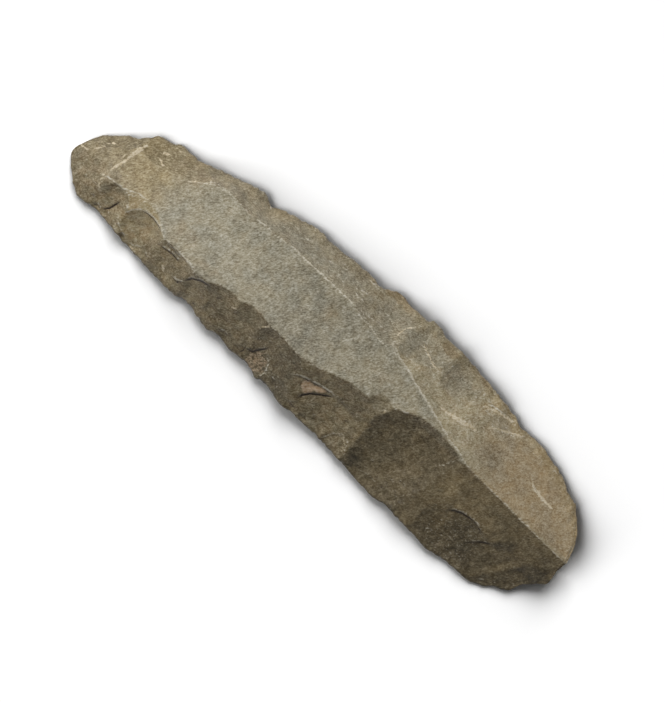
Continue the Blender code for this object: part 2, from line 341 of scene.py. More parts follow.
# %% Smooth noise
def noise(x, y, size, seed):
    """Random heights from -1 to 1, one every size mm, joined smoothly."""
    lattice = np.random.default_rng(seed).uniform(-1.0, 1.0, (int(180.0 / size) + 3, int(80.0 / size) + 3))
    column, row = (x + 90.0) / size, (y + 40.0) / size
    i, j = column.astype(int), row.astype(int)
    u, v = column - i, row - j
    u, v = u * u * (3.0 - 2.0 * u), v * v * (3.0 - 2.0 * v)
    near = lattice[i, j] * (1.0 - u) + lattice[i + 1, j] * u
    far = lattice[i, j + 1] * (1.0 - u) + lattice[i + 1, j + 1] * u
    return near * (1.0 - v) + far * v


loose = np.where(top_x < 40.0, 1.0, 0.3)       # the long ridge of the butt is the straightest
wander_x = top_x + loose * (0.26 * noise(top_x, top_y, 4.0, 21) + 0.12 * noise(top_x, top_y, 1.3, 22))
wander_y = top_y + loose * (0.26 * noise(top_x, top_y, 4.0, 23) + 0.12 * noise(top_x, top_y, 1.3, 24))

# %% Lowest scar, and how near its ridge is
# how much a ridge is rounded, in mm: little on the face, more near the rubbed edges
soft = np.where(top_y > 0.0, 0.22 * (top_y > 11.0), 0.25 * np.clip(-top_y - 8.5, 0.0, 1.0))
rounding = 0.06 + soft * ((top_x < 12.0) | (top_x > 42.0) & (top_y < 0.0))
heights = facet_heights(wander_x, wander_y)
lowest = heights.min(axis=0)
share = np.exp(-(heights - lowest) / rounding)
stone_z = lowest - rounding * np.log(share.sum(axis=0))
share = share / share.sum(axis=0)

order = np.argsort(heights, axis=0)[:2]
STEP = 0.05              # how far the slope of the gap is measured over, in mm
gap = np.diff(np.take_along_axis(heights, order, 0), axis=0)[0]
gap_x = np.diff(np.take_along_axis(facet_heights(wander_x + STEP, wander_y), order, 0), axis=0)[0]
gap_y = np.diff(np.take_along_axis(facet_heights(wander_x, wander_y + STEP), order, 0), axis=0)[0]
steepness = np.hypot(gap_x - gap, gap_y - gap) / STEP
to_ridge = gap / np.maximum(steepness, 0.05)
wear = skins[order][..., 0]
broad = order < len(BROAD)
ridge_wear = np.where(broad.any(axis=0), 1.0, 0.35) * wear[0] * wear[1]
print("mean distance to a ridge in mm:", round(float(to_ridge.mean()), 1))

# %% [markdown]
# ## Chips, steps and cracks
# Where a blow fails, the flake snaps off short and leaves a step, a low cliff with a pale
# lip. A blow that only bruises the stone leaves a crack. Both are short lines, so both
# are made from a few points and the distance to the line through them. Chips along the
# edges are small scoops, cut into the surface already there.

# %% Distance to a line
def from_line(x, y, line):
    """Distance to a line (positive on its left), and how far it is from the line's ends."""
    line = np.array(line, float)
    nearest = np.full(x.shape, 1e6)
    side = np.ones(x.shape)
    passed = np.zeros(x.shape)
    lengths = np.hypot(*np.diff(line, axis=0).T)
    done = 0.0
    for start, end, length in zip(line[:-1], line[1:], lengths):
        run = (end - start) / length
        along = np.clip((x - start[0]) * run[0] + (y - start[1]) * run[1], 0.0, length)
        off_x, off_y = x - start[0] - along * run[0], y - start[1] - along * run[1]
        distance = np.hypot(off_x, off_y)
        closer = distance < nearest
        nearest = np.where(closer, distance, nearest)
        side = np.where(closer, np.sign(run[0] * off_y - run[1] * off_x), side)
        passed = np.where(closer, done + along, passed)
        done += length
    fade = np.clip(np.minimum(passed, done - passed) / (0.22 * done), 0.0, 1.0)
    return nearest * side, fade


# %% [markdown]
# The low side of each step is on the right of its line. Its numbers are the height and
# the width of its little cliff, how soon the ground below climbs back, how pale its lip
# is and how dark its foot is. The pale lip is wear and also a painted highlight where it
# catches the light; the dark foot is painted shade under the cliff.

# %% Steps
# line, height, width of the cliff, climb back, pale lip (wear and painted highlight), dark foot (painted
# shade)
STEPS = [
    ([(-44.5, -8.7), (-41.0, -8.4), (-37.3, -8.9)], 0.20, 0.3, 0.8, 0.6, 0.4),
    ([(-44.8, -9.8), (-41.0, -9.2), (-37.8, -9.6)], 0.24, 0.3, 1.6, 0.8, 0.8),
    ([(24.9, 9.6), (24.2, 12.6), (24.6, 15.2), (25.2, 17.4)], 0.30, 0.5, 2.0, 0.35, 0.2),
    ([(-2.8, -11.8), (-0.6, -10.4), (1.6, -9.6), (4.3, -8.9), (7.6, -8.4), (10.2, -8.0)],
     0.34, 0.3, 3.0, 0.9, 0.55),
    ([(8.0, -8.5), (12.0, -7.8), (15.0, -8.2), (17.0, -9.0), (18.8, -10.8)], 0.30, 0.9, 3.5, 0.25, 0.3),
    ([(2.5, -15.2), (2.9, -13.2), (4.1, -11.6), (6.0, -10.2), (9.4, -8.2)], 0.55, 0.3, 2.4, 0.0, 1.0),
    ([(45.4, -10.4), (47.2, -8.9), (48.6, -8.2), (50.7, -7.8), (52.8, -7.8), (54.8, -8.3), (57.0, -9.2)],
     0.40, 0.4, 3.0, 0.5, 0.7),
    ([(45.6, -10.2), (47.2, -8.9), (49.0, -8.1), (52.4, -7.7)], 0.10, 0.3, 1.0, 0.3, 1.0),
    ([(53.5, -13.5), (54.9, -11.8), (56.2, -10.6), (57.4, -9.8), (58.9, -8.8)], 0.30, 0.5, 2.4, 0.3, 0.6),
    ([(55.6, -11.0), (57.3, -9.8), (58.8, -8.9)], 0.20, 0.3, 1.0, 0.0, 1.0),
    ([(53.5, -13.2), (56.8, -10.8), (60.5, -7.6), (64.5, -4.8)], 0.30, 1.2, 4.0, 0.0, 0.0),
    ([(59.8, -19.0), (62.0, -16.0), (65.0, -12.0), (67.0, -8.8), (68.4, -6.0)], 0.34, 0.9, 4.5, 0.12, 0.0),
    ([(-35.2, -12.3), (-33.8, -10.4), (-32.0, -9.4), (-29.2, -8.7)], 0.34, 0.3, 1.4, 0.6, 1.0),
    ([(-60.5, -12.8), (-59.2, -11.3), (-58.8, -10.0), (-58.2, -8.4)], 0.40, 0.3, 1.2, 0.1, 1.0),
    ([(-14.0, -13.9), (-12.2, -13.4), (-11.3, -12.0), (-9.8, -10.2)], 0.38, 0.3, 2.0, 0.2, 1.0),
    ([(-9.4, -11.6), (-7.4, -13.4), (-6.8, -15.4), (-7.2, -17.8)], 0.26, 0.3, 1.6, 0.7, 0.2),
    ([(12.8, -18.4), (14.6, -15.2), (16.2, -13.7), (17.4, -13.8)], 0.20, 0.4, 1.6, 0.5, 0.1),
    ([(16.6, -13.6), (18.2, -14.4), (19.1, -16.4), (19.6, -19.0)], 0.20, 0.4, 1.6, 0.5, 0.1),
    ([(-66.6, -8.2), (-65.2, -7.0), (-64.1, -6.5), (-61.4, -6.2), (-59.3, -6.0), (-57.7, -5.3),
      (-56.0, -4.5), (-53.9, -4.2), (-51.6, -4.4)], 0.10, 0.3, 1.0, 0.75, 0.2),
    ([(-53.8, -7.4), (-52.6, -6.5), (-51.0, -6.2), (-48.9, -6.4), (-46.9, -6.7), (-45.2, -7.8)],
     0.14, 0.3, 1.0, 0.9, 0.6),
    ([(-46.4, -7.0), (-45.0, -7.9), (-42.0, -8.1), (-38.5, -8.2), (-35.0, -8.5), (-32.6, -8.5)],
     0.14, 0.3, 1.0, 0.9, 0.4),
    ([(-56.4, -11.8), (-55.2, -12.7), (-53.6, -13.5), (-51.2, -14.3)], 0.22, 0.4, 1.6, 0.7, 0.4),
    ([(-51.5, -14.5), (-49.0, -14.2), (-47.2, -12.8), (-46.4, -10.8)], 0.25, 0.5, 1.6, 0.45, 0.2),
    ([(-37.8, -13.2), (-36.2, -13.3), (-34.8, -12.4)], 0.18, 0.3, 1.2, 1.0, 0.7),
    ([(37.0, -4.5), (38.3, -3.0), (38.7, -1.6), (40.2, 0.5)], 0.20, 0.6, 1.5, 0.5, 0.1),
    ([(33.0, -18.6), (36.0, -15.0), (39.5, -11.5)], 0.25, 0.8, 3.0, 0.2, 0.1),
    ([(45.4, 15.6), (42.3, 15.3), (39.0, 15.0), (37.3, 14.7), (34.6, 13.5)], 0.28, 0.3, 1.8, 0.9, 0.4),
    ([(48.9, 14.9), (46.5, 13.4), (43.6, 12.1), (40.0, 11.1), (38.6, 10.0)], 0.26, 0.4, 2.6, 0.6, 0.3),
    ([(39.0, 12.8), (37.3, 12.8), (36.4, 12.9)], 0.12, 0.3, 1.2, 0.9, 0.3),
    ([(63.6, 6.4), (61.0, 6.5), (59.0, 6.6), (57.5, 7.0), (55.8, 8.0)], 0.20, 0.3, 1.6, 0.9, 0.25),
    ([(23.8, 12.2), (21.2, 12.4), (18.8, 13.2), (17.0, 14.0), (15.0, 15.2)], 0.12, 0.4, 0.9, 0.8, 0.3),
    ([(24.0, 13.1), (21.5, 13.3), (19.3, 13.9), (17.6, 14.8)], 0.10, 0.3, 0.7, 0.3, 0.2),
    ([(24.2, 14.0), (21.8, 14.2), (19.8, 14.7), (18.0, 15.6)], 0.08, 0.3, 0.6, 0.2, 0.1),
    ([(13.8, 19.2), (12.5, 16.7), (10.5, 15.0), (10.2, 13.0), (10.5, 10.8)], 0.20, 0.6, 1.8, 0.3, 0.1),
    ([(8.0, 10.7), (5.0, 10.8), (1.0, 10.8), (-1.2, 10.9)], 0.10, 0.3, 0.8, 0.6, 0.3),
    ([(-0.9, 14.2), (-3.6, 14.0)], 0.12, 0.3, 0.5, 0.8, 0.4),
    ([(-0.4, 12.5), (-2.5, 12.4), (-4.6, 12.7)], 0.14, 0.3, 0.5, 0.9, 0.4),
    ([(-1.2, 13.3), (-5.2, 13.6)], 0.10, 0.3, 0.5, 0.5, 0.3),
    ([(0.4, 16.9), (-2.4, 17.0), (-5.2, 17.3)], 0.12, 0.3, 0.5, 0.7, 0.3),
    ([(-6.0, 15.6), (-10.0, 15.4), (-14.0, 15.9)], 0.12, 0.3, 0.8, 0.3, 0.3),
    ([(-16.0, 16.4), (-19.5, 16.6)], 0.12, 0.3, 0.8, 0.3, 0.3),
    ([(-11.0, 13.6), (-15.0, 13.4), (-18.5, 13.9)], 0.10, 0.4, 0.8, 0.2, 0.2),
    ([(-24.0, 13.0), (-27.0, 12.4), (-30.0, 12.6)], 0.12, 0.5, 1.2, 0.2, 0.2),
    ([(33.0, 10.2), (31.0, 10.6), (29.4, 10.2)], 0.10, 0.4, 0.8, 0.3, 0.2),
    ([(43.6, 5.0), (42.4, 8.4), (40.0, 9.6)], 0.12, 0.7, 2.0, 0.1, 0.0),
    ([(61.6, 12.0), (64.0, 10.6), (67.0, 9.6)], 0.14, 0.5, 1.2, 0.3, 0.2),
    ([(-63.0, 4.9), (-59.6, 5.5), (-56.6, 4.9)], 0.10, 0.8, 2.0, 0.0, 0.0),
    ([(-69.8, -10.2), (-67.0, -9.0), (-64.6, -9.6)], 0.30, 0.5, 2.0, 0.2, 0.2),
    ([(-64.6, -9.6), (-63.6, -11.0), (-63.4, -13.4)], 0.20, 0.5, 1.2, 0.3, 0.3),
    ([(-13.9, -13.4), (-13.5, -14.6), (-14.0, -16.2)], 0.20, 0.3, 1.0, 0.2, 0.9),
    ([(-49.5, 5.5), (-47.0, 7.8), (-44.5, 9.3), (-41.0, 9.8), (-38.0, 9.4), (-34.0, 9.3),
      (-30.0, 9.7), (-25.0, 10.2)], 0.05, 0.3, 0.8, 0.55, 0.0),
    ([(11.6, 8.1), (7.6, 8.2), (5.1, 8.8), (1.7, 9.8), (-1.2, 10.8)], 0.05, 0.3, 0.6, 0.8, 0.0),
    ([(14.0, 8.0), (11.6, 8.8), (10.5, 9.8), (10.8, 10.9)], 0.08, 0.3, 0.6, 0.8, 0.2),
    ([(-63.0, -13.2), (-61.6, -12.6), (-60.4, -13.0)], 0.22, 0.3, 0.8, 0.4, 0.5),
    ([(-28.2, -15.8), (-27.4, -13.2), (-27.8, -10.8)], 0.25, 0.7, 1.8, 0.15, 0.1),
    ([(-21.4, -15.2), (-20.2, -14.4), (-18.6, -14.6)], 0.22, 0.3, 0.9, 0.4, 0.5),
    ([(-24.6, -14.0), (-22.6, -12.0), (-20.2, -11.6)], 0.22, 0.8, 2.2, 0.1, 0.1),
    ([(0.4, -16.6), (2.4, -16.2), (4.6, -16.5)], 0.28, 0.3, 1.0, 0.3, 0.6),
    ([(5.0, -17.2), (6.4, -16.6), (8.2, -17.0)], 0.24, 0.3, 0.9, 0.5, 0.5),
    ([(24.2, -17.4), (27.0, -16.6), (30.0, -16.8), (32.6, -17.8)], 0.20, 0.5, 1.4, 0.3, 0.2),
    ([(66.4, -13.6), (68.4, -12.8), (70.4, -12.9)], 0.22, 0.3, 1.0, 0.3, 0.5),
    ([(61.6, -17.4), (63.6, -16.4), (65.6, -15.8)], 0.22, 0.4, 1.0, 0.4, 0.3),
]
line_x, line_y = 0.7 * top_x + 0.3 * wander_x, 0.7 * top_y + 0.3 * wander_y
relief = np.zeros_like(top_x)
pale = np.zeros_like(top_x)
shade_in_creases = np.zeros_like(top_x)
for line, drop, cliff, climb, lip, foot in STEPS:
    signed, fade = from_line(line_x, line_y, line)
    below = np.maximum(-signed, 0.0)
    relief -= drop * fade * np.clip(below / cliff, 0.0, 1.0) * np.exp(-below / climb)
    # the dark line at each foot is painted shade under the little cliff
    groove = fade * np.exp(-((signed + 0.24) / 0.18) ** 2)
    relief -= 0.22 * max(0.0, foot - 0.5) * groove
    # the pale lip is wear, and a painted highlight where the lip catches the light
    pale = np.maximum(pale, lip * fade * np.exp(-((signed - 0.12) / 0.18) ** 2))
    shade_in_creases = np.maximum(shade_in_creases, foot * groove)
print("steps:", len(STEPS))

# %% [markdown]
# Besides the named steps there are many tiny ones, left by rubbing the edge before each
# blow. They lie by chance, short and slanting on the lower scars and long, almost along
# the edge, on the upper ones.

# %% Tiny steps
# how many, x range, y range, length, slant in degrees, drop, lip (wear and painted highlight), foot (painted
# shade)
TINY = [(48, (-66.0, 70.0), (-16.5, -9.0), (0.8, 2.6), 50.0, (0.06, 0.16), (0.1, 0.5), 0.5),
        (46, (-40.0, 62.0), (12.2, 17.4), (1.2, 4.5), 9.0, (0.04, 0.12), (0.25, 0.6), 0.25)]
for count, x_range, y_range, lengths, slant, drops, lips, foot in TINY:
    dice = np.random.default_rng(81)
    for _ in range(count):
        x, y, length = dice.uniform(*x_range), dice.uniform(*y_range), dice.uniform(*lengths)
        turn = math.radians(dice.uniform(-slant, slant))
        half_x, half_y = 0.5 * length * math.cos(turn), 0.5 * length * math.sin(turn)
        line = [(x - half_x, y - half_y), (x, y + 0.1 * length), (x + half_x, y + half_y)]
        signed, fade = from_line(line_x, line_y, line)
        below = np.maximum(-signed, 0.0)
        relief -= dice.uniform(*drops) * fade * np.clip(below / 0.3, 0.0, 1.0) * np.exp(-below)
        # the pale lip of a tiny step is wear and a painted highlight
        pale = np.maximum(pale, dice.uniform(*lips) * fade * np.exp(-((signed - 0.12) / 0.18) ** 2))
        # painted shade at the foot of each tiny step
        shade_in_creases = np.maximum(shade_in_creases, foot * fade * np.exp(-((signed + 0.24) / 0.18) ** 2))
print("tiny steps:", sum(row[0] for row in TINY))

# %% [markdown]
# Scoops are bites with an oval rim: the named ones lie where a bigger chip came off, and
# hundreds of small ones, spread by chance, crowd the two edges where most blows landed.

# %% Scoops
# centre x, y, reach along and across, turn in degrees, depth
SCOOPS = [
    (-10.2, -15.6, 3.7, 3.2, -20.0, 0.32),
    (16.4, -18.6, 3.4, 5.0, 8.0, 0.50),
    (-52.8, -14.9, 1.5, 1.3, 0.0, 0.40),
    (-40.3, -13.9, 1.3, 0.7, -45.0, 0.25),
    (-59.6, -13.4, 1.8, 1.3, 20.0, 0.35),
    (-62.2, -13.6, 1.4, 1.2, 0.0, 0.30),
    (27.8, -18.6, 3.6, 2.2, 0.0, 0.30),
    (35.0, -18.8, 2.4, 2.6, 20.0, 0.35),
    (3.0, -17.6, 2.3, 1.3, 0.0, 0.35),
    (6.8, -17.9, 1.5, 1.2, 0.0, 0.30),
    (-21.6, -16.0, 1.6, 1.3, 0.0, 0.30),
    (-35.8, -15.9, 1.4, 1.4, 0.0, 0.30),
    (-26.8, -15.6, 2.6, 2.0, 30.0, 0.25),
    (21.6, 18.6, 2.4, 2.2, 0.0, 0.35),
    (32.8, 18.2, 2.8, 1.8, -10.0, 0.30),
    (6.0, 19.2, 4.6, 1.7, 0.0, 0.30),
    (15.4, 19.6, 2.0, 2.6, 0.0, 0.30),
    (-31.6, 14.8, 2.2, 1.6, 0.0, 0.30),
    (-57.0, 9.9, 2.4, 2.0, 20.0, 0.25),
    (-61.6, 8.6, 1.2, 1.2, 0.0, 0.25),
    (68.8, 9.6, 2.6, 1.6, -45.0, 0.25),
    (68.8, -12.6, 2.2, 3.0, 35.0, 0.30),
    (63.6, -16.8, 2.6, 1.6, 35.0, 0.25),
]
scoop_depth = np.zeros_like(top_x)
for centre_x, centre_y, reach_x, reach_y, turn, depth in SCOOPS:
    cos, sin = math.cos(math.radians(turn)), math.sin(math.radians(turn))
    off_x, off_y = wander_x - centre_x, wander_y - centre_y
    u, v = (off_x * cos + off_y * sin) / reach_x, (off_y * cos - off_x * sin) / reach_y
    scoop_depth = np.maximum(scoop_depth, depth * np.maximum(0.0, 1.0 - u ** 2 - v ** 2))


def edge_chips(line, s, count, widths, lengths, depths, seed):
    """Depth of small chips struck in from an edge, at every point of the face."""
    dice = np.random.default_rng(seed)
    inward = np.hypot(top_x - line[:, :1], top_y - line[:, 1:])
    carved = np.zeros_like(top_x)
    for _ in range(count):
        place, half = dice.uniform(0.0, s[-1]), dice.uniform(*widths)
        length, depth, lean = dice.uniform(*lengths), dice.uniform(*depths), dice.uniform(-0.4, 0.4)
        u = (s[:, None] - place - lean * inward) / half
        v = inward / length
        carved = np.maximum(carved, depth * np.maximum(0.0, 1.0 - u ** 2 - v ** 2))
    return carved


# how many, half widths, lengths and depths in mm: some bigger chips, more small ones
CHIPS = [(70, (1.0, 2.6), (1.5, 4.5), (0.12, 0.4)), (150, (0.5, 1.2), (0.7, 2.0), (0.1, 0.3)),
         (180, (0.3, 0.8), (0.4, 1.3), (0.1, 0.3))]
for line, s, seed in ((lower_nicked, lower_s, 31), (upper_nicked, upper_s, 32)):
    for row, chips in enumerate(CHIPS):
        scoop_depth = np.maximum(scoop_depth, edge_chips(line, s, *chips, seed + 2 * row))
relief -= scoop_depth
print("deepest scoop in mm:", round(float(scoop_depth.max()), 2))

# %% [markdown]
# ## The grain of the surface
# Flint breaks smooth, but after thousands of years its skin is pitted and undulating.
# Three sizes of noise give that: a swell of nearly 3 mm, dimples and a fine tooth.

# %% Swell, dimples and tooth
tooth = 0.075 * noise(top_x, top_y, 2.8, 41) + 0.055 * noise(top_x, top_y, 1.3, 42)
tooth += 0.03 * noise(top_x, top_y, 0.65, 43)
flank = share[[row for row in range(len(skins)) if row not in (0, 2)]].sum(axis=0)
relief += tooth * (0.55 + flank * (0.9 + 0.35 * (top_y < 0.0)))
THINNEST = 0.3           # stone left at least this thick everywhere, in mm
floor_z = np.maximum(np.maximum(underside(top_x, top_y), platform(top_x, top_y)), 0.0)
top_z = np.clip(stone_z + relief, floor_z + THINNEST, high.z / MM)
base_z = np.maximum(np.maximum(underside(base_x, base_y), platform(base_x, base_y)), 0.0)
print("top of the stone in mm:", round(float(top_z.max()), 2))

# %% [markdown]
# The underside is one great scar, the face the blade was split off on. Broad ripples run
# across it from the struck end, and they fade out where it rests.

# %% Ripples of the underside
from_butt = np.hypot(base_x - 74.0, base_y + 1.0)
swell = 0.10 * np.sin(2.0 * math.pi * from_butt / (6.0 + 0.03 * from_butt))
swell += 0.05 * noise(base_x, base_y, 5.0, 51)
base_z = np.where(base_z > 0.0, np.maximum(base_z + swell * np.minimum(1.0, base_z / 0.3), 0.0), 0.0)
print("highest point of the underside in mm:", round(float(base_z.max()), 2))

# %% [markdown]
# Now the points are joined. Each rib is a ring of points, four neighbours make a face, and
# the first and the last rib are closed with one face each. A grid like this could also be
# made by sculpting, but then the ridges would have to be drawn by hand.

# %% Skin the ribs
rim_upper_z = (top_z[:, -1] + base_z[:, 0]) / 2.0
rim_lower_z = (top_z[:, 0] + base_z[:, -1]) / 2.0
loop = np.concatenate([
    np.dstack([top_x, top_y, top_z]),
    np.dstack([upper_nicked[:, None, :], rim_upper_z[:, None]]),
    np.dstack([base_x, base_y, base_z]),
    np.dstack([lower_nicked[:, None, :], rim_lower_z[:, None]])], axis=1)
AROUND = loop.shape[1]
index = np.arange(RIBS * AROUND).reshape(RIBS, AROUND)
here, ahead = index[:-1], index[1:]
quads = np.stack([here, ahead, np.roll(ahead, -1, axis=1), np.roll(here, -1, axis=1)], axis=-1).reshape(-1, 4)
ends = [list(map(int, index[0])), list(map(int, index[-1][::-1]))]
mesh = bpy.data.meshes.new("flint_blade_stone")
mesh.from_pydata((loop.reshape(-1, 3) * MM).tolist(), [], quads.tolist() + ends)
mesh.validate()
blade = bpy.data.objects.new("flint_blade_stone", mesh)
bpy.context.scene.collection.objects.link(blade)
mesh.shade_smooth()
print("triangles in the skin:", sum(len(face.vertices) - 2 for face in mesh.polygons))

# %% [markdown]
# ## What the skin carries
# The shader needs to know where on the stone it is: on a worn ridge, on the bloom, in a
# crack. Each of these is a number at every point of the mesh, most of them from 0 to 1. It
# could be painted by hand too, but then it wouldn't follow when a blow is moved.

# %% Bloom, olive and tan
def between(value, start, end):
    """0 below start, 1 above end, smooth on the way."""
    t = np.clip((value - start) / (end - start), 0.0, 1.0)
    return t * t * (3.0 - 2.0 * t)


ragged = 2.2 * noise(top_x, top_y, 6.0, 61) + 1.0 * noise(top_x, top_y, 2.0, 62)
_, face_bloom, face_tone_and_shade = np.tensordot(skins, share, axes=(0, 0))
bloom_mask = face_bloom * between(top_x + ragged - 0.4 * top_y, -56.0, -47.0)
olive_mask = (1.0 - between(top_x + ragged, -56.0, -46.0)) * (1.0 - 0.85 * between(-top_y, 2.0, 7.0))
tan_mask = between(top_x + 1.5 * ragged + 0.3 * top_y, 38.0, 56.0)
tan_mask = np.where(top_y > 0.0, tan_mask, 0.5 * between(top_x + ragged, 20.0, 34.0))
steep = (1.0 - face_bloom) * between(-top_y, -1.0, 1.0) * between(top_x, -52.0, -44.0)
olive_mask += (0.3 + 0.4 * between(top_x, 14.0, 24.0)) * steep * (1.0 - olive_mask)
# a band along the upper edge is warmer and has less bloom than the scars inside it
near_rim = between(top_y - upper_nicked[:, 1:], -4.0, -0.8)
olive_mask = np.maximum(olive_mask, 0.55 * near_rim)
bloom_mask *= 1.0 - 0.45 * near_rim
print("share of the face under bloom:", round(float(bloom_mask.mean()), 2))

# %% How strong the grain is: strongest on the middle facet, weakest at the butt
coarse_mask = 1.15 - 0.1 * flank - 0.25 * between(top_x - top_y, 25.0, 45.0)
pitted_mask = share[[names.index("lower_k"), names.index("corner")]].sum(axis=0) + 0.25 * flank
print("grain from", round(float(coarse_mask.min()), 2), "to", round(float(coarse_mask.max()), 2))

# %% [markdown]
# Handling and soil rub the ridges until they are pale. The rubbing follows the distance to
# the nearest ridge, and noise breaks it up, because no ridge is worn evenly. Longer scrapes
# that cross the scars are streaks, each with a line of its own.

# %% Worn ridges and rubbed streaks
RIDGE_WIDTH = 0.21       # a worn ridge fades out over this distance, in mm
ridge_wear *= np.where(top_y > 0.0, between(top_x, -52.0, -48.5), 1.0)
ridge_wear *= 1.0 - 0.7 * (top_x > 2.0) * (top_x < 12.0) * (top_y > 7.0)
ridge_wear *= 1.0 - 0.45 * between(top_x, 31.0, 35.0) * (1.0 - between(top_x, 44.0, 50.0))
ridge_wear *= 1.0 - 0.7 * (top_x > -56.0) * (top_x < -46.8) * (top_y < 0.0) * (top_y > -5.8)
ridge_wear *= 0.6 + 0.4 * between(noise(top_x, top_y, 0.9, 63) + 0.03 * top_x, -0.6, 0.4)
pale *= 0.55 + 0.45 * between(noise(top_x, top_y, 0.8, 64), -0.6, 0.3)
# worn ridges, with the pale step lips, which are partly a painted highlight
wear_and_highlight_mask = np.maximum(ridge_wear * np.exp(-(to_ridge / RIDGE_WIDTH) ** 2), pale)
# line, half width, strength
STREAKS = [
    ([(-62.1, 6.2), (-62.5, 4.4), (-62.9, 2.3), (-63.3, 0.2), (-63.8, -2.1), (-65.1, -5.6)], 0.26, 1.0),
    ([(-62.4, 4.6), (-62.9, 2.2), (-63.3, 0.0)], 0.52, 1.0),
    ([(-64.7, -4.6), (-65.2, -6.4), (-64.9, -8.1), (-64.2, -9.3), (-63.0, -9.9)], 0.24, 0.6),
    ([(-64.4, 0.3), (-64.8, -1.6)], 0.24, 0.7),
    ([(-71.1, -4.0), (-69.9, -2.5), (-68.9, -1.1)], 0.22, 0.7),
    ([(-72.0, -2.3), (-68.1, 0.2)], 0.20, 0.45),
    ([(-68.9, 0.1), (-68.0, 0.5)], 0.26, 0.8),
    ([(-58.3, 5.0), (-57.1, 4.5), (-55.9, 3.9)], 0.24, 0.9),
    ([(-58.6, 6.3), (-57.7, 6.8), (-57.0, 7.2)], 0.34, 1.0),
    ([(-54.6, 10.3), (-57.6, 7.4)], 0.22, 0.4),
    ([(-49.7, 5.3), (-48.5, 6.2), (-47.7, 7.2)], 0.24, 0.6),
    ([(-74.4, -5.1), (-73.0, -5.0), (-71.6, -4.9)], 0.20, 0.8),
    ([(27.0, 6.3), (31.0, 6.5), (34.0, 7.0), (36.5, 7.7), (39.6, 7.8)], 0.27, 1.0),
    ([(29.6, 6.4), (34.0, 7.0), (37.6, 7.7)], 0.45, 0.9),
    ([(54.6, 8.7), (57.2, 7.2), (59.6, 6.7), (64.5, 6.3)], 0.28, 1.0),
    ([(39.4, 9.8), (41.6, 11.4), (44.6, 12.8), (48.4, 14.8)], 0.24, 0.7),
    ([(34.4, 12.6), (37.6, 13.8), (40.4, 14.6), (45.4, 15.4)], 0.26, 0.8),
    ([(10.2, 10.8), (10.2, 12.8), (10.6, 14.5), (12.3, 16.5)], 0.22, 0.6),
    ([(15.0, 15.3), (16.0, 14.5), (18.5, 13.3), (21.0, 12.4), (23.5, 12.1)], 0.22, 0.7),
    ([(13.2, -17.2), (15.0, -14.6), (16.5, -13.6), (18.2, -15.4), (19.3, -18.0)], 0.20, 0.5),
    ([(-22.8, -9.2), (-21.2, -8.7)], 0.25, 0.6),
    ([(-14.6, -8.2), (-12.8, -6.4)], 0.24, 0.8),
    ([(19.6, -2.6), (19.9, -3.8)], 0.30, 0.6),
    ([(-41.2, -12.6), (-40.4, -13.3), (-39.8, -14.2)], 0.32, 0.8),
    ([(-50.0, -14.9), (-48.4, -14.8)], 0.28, 0.5),
]
streak_mask = np.zeros_like(top_x)
for line, half, strength in STREAKS:
    signed, fade = from_line(line_x, line_y, line)
    streak_mask = np.maximum(streak_mask, strength * fade * np.exp(-(signed / half) ** 2))
print("streaks:", len(STREAKS))

# %% [markdown]
# The outer rind of the flint lump survives in ochre patches, most of them along the upper
# edge, and a few chips struck later show younger, peach-coloured stone. Both are ovals with
# a ragged rim.

# %% Patches of rind and of fresh stone
# centre x, y, reach along and across, turn in degrees, strength
RIND = [
    (5.0, 18.6, 5.5, 1.4, 3.0, 0.8), (21.6, 17.6, 2.4, 1.5, -10.0, 1.0),
    (32.6, 17.7, 3.0, 0.8, -8.0, 0.9), (67.5, 10.2, 2.8, 1.0, -40.0, 0.5),
    (-4.0, 5.0, 1.2, 2.2, 0.0, 0.35), (-2.5, 17.2, 2.6, 0.8, 0.0, 0.5),
    (-27.0, 15.0, 6.0, 1.2, 12.0, 0.4), (44.0, 2.0, 16.0, 1.0, -4.0, 0.25),
    (18.0, -10.8, 1.6, 1.2, 0.0, 0.3),
]
FRESH = [
    (-9.8, -14.8, 3.2, 2.6, -20.0, 0.36), (2.9, -11.1, 1.7, 1.7, 20.0, 1.0),
    (5.4, -9.6, 2.3, 0.6, 22.0, 1.0),
]
# where the bloom has worn thin
THIN = [
    (-41.5, -4.6, 5.0, 2.8, 0.0, 0.6), (-4.7, 5.2, 2.2, 2.8, 0.0, 0.5), (-33.0, -6.6, 4.0, 1.4, 0.0, 0.5),
    (14.0, 2.0, 3.0, 2.4, 0.0, 0.35),
]


def patches(spots, solid=0.6, end=1.15):
    """Soft-edged ovals, as strong as the strongest at each point."""
    mask = np.zeros_like(top_x)
    for centre_x, centre_y, reach_x, reach_y, turn, strength in spots:
        cos, sin = math.cos(math.radians(turn)), math.sin(math.radians(turn))
        off_x, off_y = wander_x - centre_x, wander_y - centre_y
        u, v = (off_x * cos + off_y * sin) / reach_x, (off_y * cos - off_x * sin) / reach_y
        edge = np.hypot(u, v) + 0.25 * noise(top_x, top_y, 0.9, 71)
        mask = np.maximum(mask, strength * (1.0 - between(edge, solid, end)))
    return mask


rind_mask, fresh_mask = patches(RIND), patches(FRESH)
bloom_mask *= 1.0 - patches(THIN, 0.0, 1.4)
print("patches:", len(RIND) + len(FRESH) + len(THIN))
